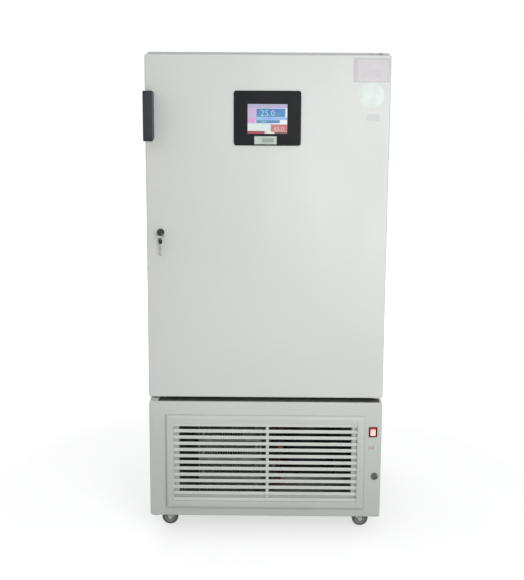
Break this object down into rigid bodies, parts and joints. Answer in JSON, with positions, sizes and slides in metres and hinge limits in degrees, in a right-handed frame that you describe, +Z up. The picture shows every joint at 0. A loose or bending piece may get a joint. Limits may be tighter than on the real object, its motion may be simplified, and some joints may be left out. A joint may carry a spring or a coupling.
{
  "type": "cooling incubator",
  "caption": "Free-standing cooling incubator: tall insulated door with controller and pocket handle over a grilled machine bay, on swivel castors.",
  "frame": {"origin": "on the floor, under the centre of the overall box", "axes": "+Z up, -Y out of the doors, +X to the right of someone facing the doors"},
  "size_m": [0.7, 0.78, 1.455],
  "materials": {
    "cabinet_paint": "pale grey powder coat",
    "grille_paint": "pale grey powder coat on thin bars",
    "zinc_sheet": "zinc-plated sheet",
    "screw_steel": "zinc-plated screws",
    "foam": "rigid foam",
    "stainless": "brushed stainless sheet",
    "shelf_wire": "plated round wire",
    "inner_panel": "white moulded sheet",
    "gasket": "soft pale gasket",
    "black_plastic": "black moulded plastic",
    "handle_plastic": "dark grey moulded plastic",
    "screen": "lit touch screen",
    "lock_metal": "plated zinc",
    "bush_plastic": "natural nylon",
    "switch_frame": "dark red switch frame",
    "switch_lit": "lit red rocker",
    "coil_fins": "thin fins on tubes",
    "copper": "copper pipe",
    "compressor_paint": "black paint",
    "motor_metal": "cast motor housings",
    "fan_plastic": "dark fan rotors",
    "heater_tube": "heat-stained tube",
    "wheel_rubber": "grey wheel rubber"
  },
  "bodies": {
    "cabinet": {"cabinet_shell": "cabinet_paint", "front_frame": "cabinet_paint", "rear_panel": "cabinet_paint", "base_pan": "zinc_sheet", "caster_plates": "zinc_sheet", "hinge_brackets": "zinc_sheet", "condenser_shroud": "zinc_sheet", "electrical_box": "zinc_sheet", "fixing_screws": "screw_steel", "insulation": "foam", "chamber_liner": "stainless", "duct_panel": "stainless", "drip_tray": "stainless", "shelf_supports": "stainless", "temperature_probe": "stainless", "shelf_lower": "shelf_wire", "shelf_middle": "shelf_wire", "shelf_upper": "shelf_wire", "power_inlet": "black_plastic", "rear_spacers": "black_plastic", "drain_spigot": "bush_plastic", "evaporator": "coil_fins", "condenser": "coil_fins", "refrigerant_pipes": "copper", "compressor": "compressor_paint", "circulation_motor": "motor_metal", "condenser_motor": "motor_metal", "heater": "heater_tube"},
    "main_door": {"door_shell": "cabinet_paint", "door_foam": "foam", "door_inner_panel": "inner_panel", "door_gasket": "gasket", "door_handle": "handle_plastic", "controller_bezel": "black_plastic", "controller_screen": "screen", "controller_housing": "black_plastic", "door_hinge_bushes": "bush_plastic", "door_lock_barrel": "lock_metal"},
    "lock_plug": {"door_lock_plug": "lock_metal", "door_key": "black_plastic"},
    "key_bunch": {"key_ring": "lock_metal", "spare_key": "black_plastic"},
    "access_door": {"access_panel": "cabinet_paint", "grille_frame": "cabinet_paint", "grille_bars": "grille_paint", "switch_bezel": "switch_frame", "access_lock_barrel": "lock_metal", "access_hinge_bushes": "bush_plastic"},
    "access_plug": {"access_lock_plug": "lock_metal"},
    "rocker": {"power_rocker": "switch_lit"},
    "chamber_rotor": {"circulation_fan": "fan_plastic"},
    "condenser_rotor": {"condenser_fan": "fan_plastic"},
    "fork_front_left": {"caster_fork_front_left": "zinc_sheet"},
    "wheel_front_left": {"caster_wheel_front_left": "wheel_rubber"},
    "fork_front_right": {"caster_fork_front_right": "zinc_sheet"},
    "wheel_front_right": {"caster_wheel_front_right": "wheel_rubber"},
    "fork_rear_left": {"caster_fork_rear_left": "zinc_sheet"},
    "wheel_rear_left": {"caster_wheel_rear_left": "wheel_rubber"},
    "fork_rear_right": {"caster_fork_rear_right": "zinc_sheet"},
    "wheel_rear_right": {"caster_wheel_rear_right": "wheel_rubber"}
  },
  "joints": [
    {"name": "main_door_hinge", "type": "hinge", "parent": "cabinet", "child": "main_door", "pos_m": [0.334, -0.305, 0.945], "axis": [0, 0, 1], "range_deg": [0, 115]},
    {"name": "access_door_hinge", "type": "hinge", "parent": "cabinet", "child": "access_door", "pos_m": [-0.334, -0.305, 0.247], "axis": [0, 0, -1], "range_deg": [0, 100]},
    {"name": "door_lock_turn", "type": "hinge", "parent": "main_door", "child": "lock_plug", "pos_m": [-0.309, -0.33, 0.939], "axis": [0, -1, 0], "range_deg": [0, 90]},
    {"name": "key_ring_swing", "type": "hinge", "parent": "lock_plug", "child": "key_bunch", "pos_m": [-0.309, -0.3465, 0.939], "axis": [0, -1, 0], "range_deg": [-90, 0]},
    {"name": "access_lock_turn", "type": "hinge", "parent": "access_door", "child": "access_plug", "pos_m": [0.331, -0.33, 0.197], "axis": [0, -1, 0], "range_deg": [0, 90]},
    {"name": "power_rocker_tip", "type": "hinge", "parent": "access_door", "child": "rocker", "pos_m": [0.324, -0.326, 0.337], "axis": [-1, 0, 0], "range_deg": [0, 20]},
    {"name": "circulation_fan_spin", "type": "hinge", "parent": "cabinet", "child": "chamber_rotor", "pos_m": [0, 0.236, 1.138], "axis": [0, 1, 0], "continuous": true},
    {"name": "condenser_fan_spin", "type": "hinge", "parent": "cabinet", "child": "condenser_rotor", "pos_m": [-0.112, -0.132, 0.215], "axis": [0, 1, 0], "continuous": true},
    {"name": "swivel_front_left", "type": "hinge", "parent": "cabinet", "child": "fork_front_left", "pos_m": [-0.28, -0.23, 0.06], "axis": [0, 0, 1], "continuous": true},
    {"name": "wheel_spin_front_left", "type": "hinge", "parent": "fork_front_left", "child": "wheel_front_left", "pos_m": [-0.298, -0.23, 0.025], "axis": [0, 1, 0], "continuous": true},
    {"name": "swivel_front_right", "type": "hinge", "parent": "cabinet", "child": "fork_front_right", "pos_m": [0.28, -0.23, 0.06], "axis": [0, 0, 1], "continuous": true},
    {"name": "wheel_spin_front_right", "type": "hinge", "parent": "fork_front_right", "child": "wheel_front_right", "pos_m": [0.298, -0.23, 0.025], "axis": [0, 1, 0], "continuous": true},
    {"name": "swivel_rear_left", "type": "hinge", "parent": "cabinet", "child": "fork_rear_left", "pos_m": [-0.28, 0.336, 0.06], "axis": [0, 0, 1], "continuous": true},
    {"name": "wheel_spin_rear_left", "type": "hinge", "parent": "fork_rear_left", "child": "wheel_rear_left", "pos_m": [-0.298, 0.336, 0.025], "axis": [0, 1, 0], "continuous": true},
    {"name": "swivel_rear_right", "type": "hinge", "parent": "cabinet", "child": "fork_rear_right", "pos_m": [0.28, 0.336, 0.06], "axis": [0, 0, 1], "continuous": true},
    {"name": "wheel_spin_rear_right", "type": "hinge", "parent": "fork_rear_right", "child": "wheel_rear_right", "pos_m": [0.298, 0.336, 0.025], "axis": [0, 1, 0], "continuous": true}
  ],
  "couplings": [
    {"joint": "key_ring_swing", "follows": "door_lock_turn", "ratio": -1}
  ]
}
